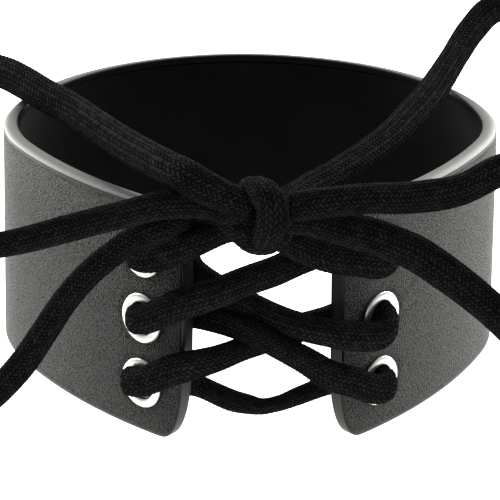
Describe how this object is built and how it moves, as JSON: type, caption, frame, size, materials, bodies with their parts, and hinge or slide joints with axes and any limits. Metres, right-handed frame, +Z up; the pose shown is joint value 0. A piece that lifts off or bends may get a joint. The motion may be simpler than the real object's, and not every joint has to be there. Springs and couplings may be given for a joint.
{
  "type": "lace-up choker collar",
  "caption": "Wide curved leather choker collar, open at the front, drawn together by a braided lace through metal eyelets and tied in a bow.",
  "frame": {"origin": "middle of the neck opening: centred across and front to back on the band, halfway up its height", "axes": "+Z up along the neck, front with the lacing and bow towards -Y, +X to the right seen from the front"},
  "size_m": [0.1922, 0.1469, 0.066],
  "materials": {
    "band_leather": "fine grain, soft sheen",
    "lining": "matte black nap",
    "eyelet_metal": "bright nickel",
    "lace_cord": "matte braided cord"
  },
  "bodies": {
    "root": {"collar_band": "band_leather", "collar_lining": "lining", "eyelet_left_top": "eyelet_metal", "eyelet_left_middle": "eyelet_metal", "eyelet_left_bottom": "eyelet_metal", "eyelet_right_top": "eyelet_metal", "eyelet_right_middle": "eyelet_metal", "eyelet_right_bottom": "eyelet_metal", "bow_knot": "lace_cord", "lacing": "lace_cord", "bow_loop_left": "lace_cord", "bow_loop_right": "lace_cord", "lace_end_left": "lace_cord", "lace_end_right": "lace_cord"}
  },
  "joints": []
}
